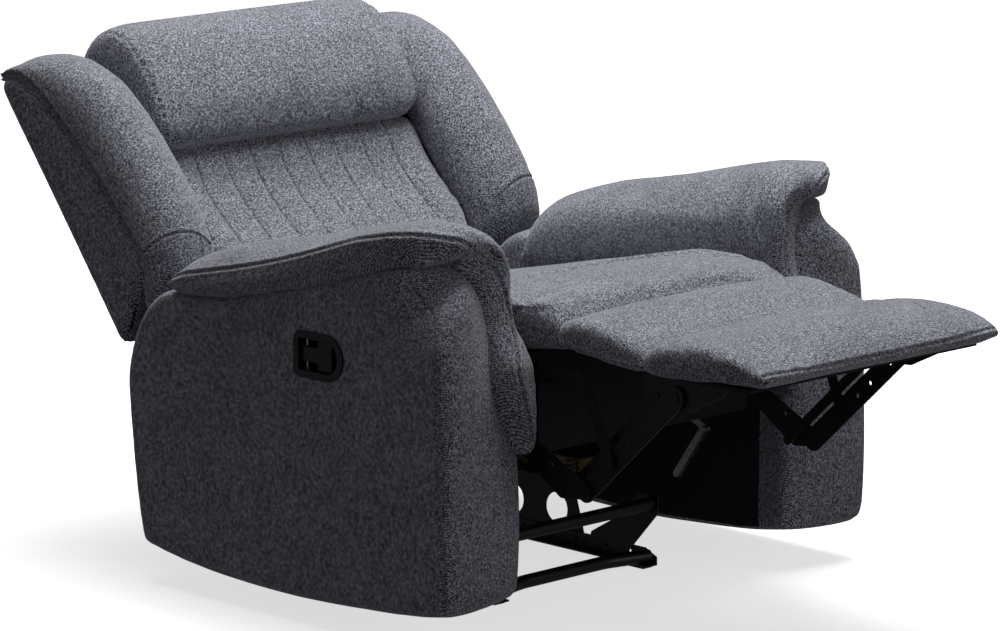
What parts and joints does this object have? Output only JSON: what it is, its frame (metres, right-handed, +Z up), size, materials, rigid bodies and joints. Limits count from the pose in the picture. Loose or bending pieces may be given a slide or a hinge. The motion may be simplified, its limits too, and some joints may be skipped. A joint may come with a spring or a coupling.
{
  "type": "recliner armchair",
  "caption": "Upholstered rocker recliner with padded arms, a folding leg rest on a steel linkage, a reclining back and a side release pull.",
  "frame": {"origin": "on the floor under the middle of the chair's overall box, leg rest out", "axes": "+Z up; the chair faces -Y; +X is the sitter's left, and the release pull is on the -X arm"},
  "size_m": [0.976, 1.5676, 0.8799],
  "materials": {
    "upholstery": "heather charcoal woven polyester",
    "lined_timber": "timber covered in black lining cloth",
    "plywood": "raw birch plywood",
    "timber": "raw sawn pine",
    "black_plastic": "moulded, fine texture",
    "black_steel": "black powder coat, satin",
    "zinc_plate": "bright zinc plate",
    "spring_steel": "oiled spring wire"
  },
  "bodies": {
    "base": {"base_rail_left": "black_steel", "base_rail_right": "black_steel", "rocker_bearer_left": "black_steel", "rocker_bearer_right": "black_steel", "base_brackets": "black_steel", "base_tube_front": "black_steel", "base_tube_upper": "black_steel", "base_tube_rear": "black_steel", "glide_feet": "black_plastic", "base_bolts": "black_steel", "rocker_springs": "spring_steel"},
    "frame": {"seat_rail_left": "timber", "seat_rail_right": "timber", "mech_plate_left": "black_steel", "mech_plate_right": "black_steel", "rocker_cam_left": "timber", "rocker_cam_right": "timber", "arm_pad_left": "upholstery", "arm_pad_right": "upholstery", "cam_shelves": "black_steel", "seat_rail_front": "lined_timber", "seat_rail_rear": "timber", "seat_springs": "spring_steel", "frame_pins": "black_steel", "plated_struts": "zinc_plate", "arm_cover_left": "upholstery", "arm_cover_right": "upholstery", "arm_frame_left": "plywood", "arm_frame_right": "plywood", "seat_cushion": "upholstery", "chaise_pad": "upholstery", "handle_bezel": "black_plastic", "handle_pin": "zinc_plate", "release_cable": "black_plastic"},
    "back": {"back_hinge_bracket_left": "black_steel", "back_hinge_bracket_right": "black_steel", "back_wing_left": "upholstery", "back_wing_right": "upholstery", "back_stiles": "timber", "back_rails": "timber", "back_cover": "upholstery", "headrest_pillow": "upholstery", "lumbar_cushion": "upholstery"},
    "legrest": {"rest_bracket_left": "black_steel", "rest_bracket_right": "black_steel", "rest_board": "plywood", "rest_pad": "upholstery", "rest_pins": "black_steel"},
    "lower_links": {"lower_link_left": "black_steel", "lower_link_right": "black_steel", "drive_tube": "black_steel", "lower_link_pins": "black_steel"},
    "wide_links": {"wide_link_left": "black_steel", "wide_link_right": "black_steel", "wide_link_pins": "black_steel"},
    "hooked_links": {"hooked_link_left": "black_steel", "hooked_link_right": "black_steel"},
    "control_rods": {"control_rods": "black_steel"},
    "handle": {"handle": "black_plastic"},
    "latch": {"latch_hook": "zinc_plate"}
  },
  "joints": [
    {"name": "rock", "type": "hinge", "parent": "base", "child": "frame", "pos_m": [0, 0.15421, 0.112], "axis": [1, 0, 0], "range_deg": [-4, 4], "stiffness_Nm_per_rad": 2500, "deforming": ["rocker_springs"]},
    {"name": "recline", "type": "hinge", "parent": "frame", "child": "back", "pos_m": [0, 0.26421, 0.33], "axis": [1, 0, 0], "range_deg": [-12, 22]},
    {"name": "legrest_fold", "type": "hinge", "parent": "frame", "child": "legrest", "pos_m": [0, -0.37079, 0.53], "axis": [1, 0, 0], "range_deg": [0, 88], "stiffness_Nm_per_rad": 16, "springref_deg": -114.59, "deforming": ["chaise_pad"]},
    {"name": "lower_link_swing", "type": "hinge", "parent": "frame", "child": "lower_links", "pos_m": [0, -0.18379, 0.356], "axis": [1, 0, 0], "range_deg": [0, 88]},
    {"name": "wide_link_swing", "type": "hinge", "parent": "lower_links", "child": "wide_links", "pos_m": [0, -0.40379, 0.246], "axis": [1, 0, 0], "range_deg": [-88, 0]},
    {"name": "hooked_link_swing", "type": "hinge", "parent": "frame", "child": "hooked_links", "pos_m": [0, -0.23979, 0.408], "axis": [1, 0, 0], "range_deg": [0, 88]},
    {"name": "control_rod_swing", "type": "hinge", "parent": "lower_links", "child": "control_rods", "pos_m": [0, -0.35879, 0.241], "axis": [1, 0, 0], "range_deg": [-88, 0]},
    {"name": "handle_pull", "type": "hinge", "parent": "frame", "child": "handle", "pos_m": [-0.472, -0.00529, 0.435], "axis": [0, 0, -1], "range_deg": [0, 38], "stiffness_Nm_per_rad": 0.5, "springref_deg": -11.46},
    {"name": "latch_turn", "type": "hinge", "parent": "frame", "child": "latch", "pos_m": [-0.251, -0.01079, 0.27], "axis": [1, 0, 0], "range_deg": [0, 16]}
  ],
  "couplings": [
    {"joint": "lower_link_swing", "follows": "legrest_fold", "ratio": 1},
    {"joint": "wide_link_swing", "follows": "legrest_fold", "ratio": -1},
    {"joint": "hooked_link_swing", "follows": "legrest_fold", "ratio": 1},
    {"joint": "control_rod_swing", "follows": "legrest_fold", "ratio": -1},
    {"joint": "latch_turn", "follows": "handle_pull", "ratio": 0.4}
  ]
}
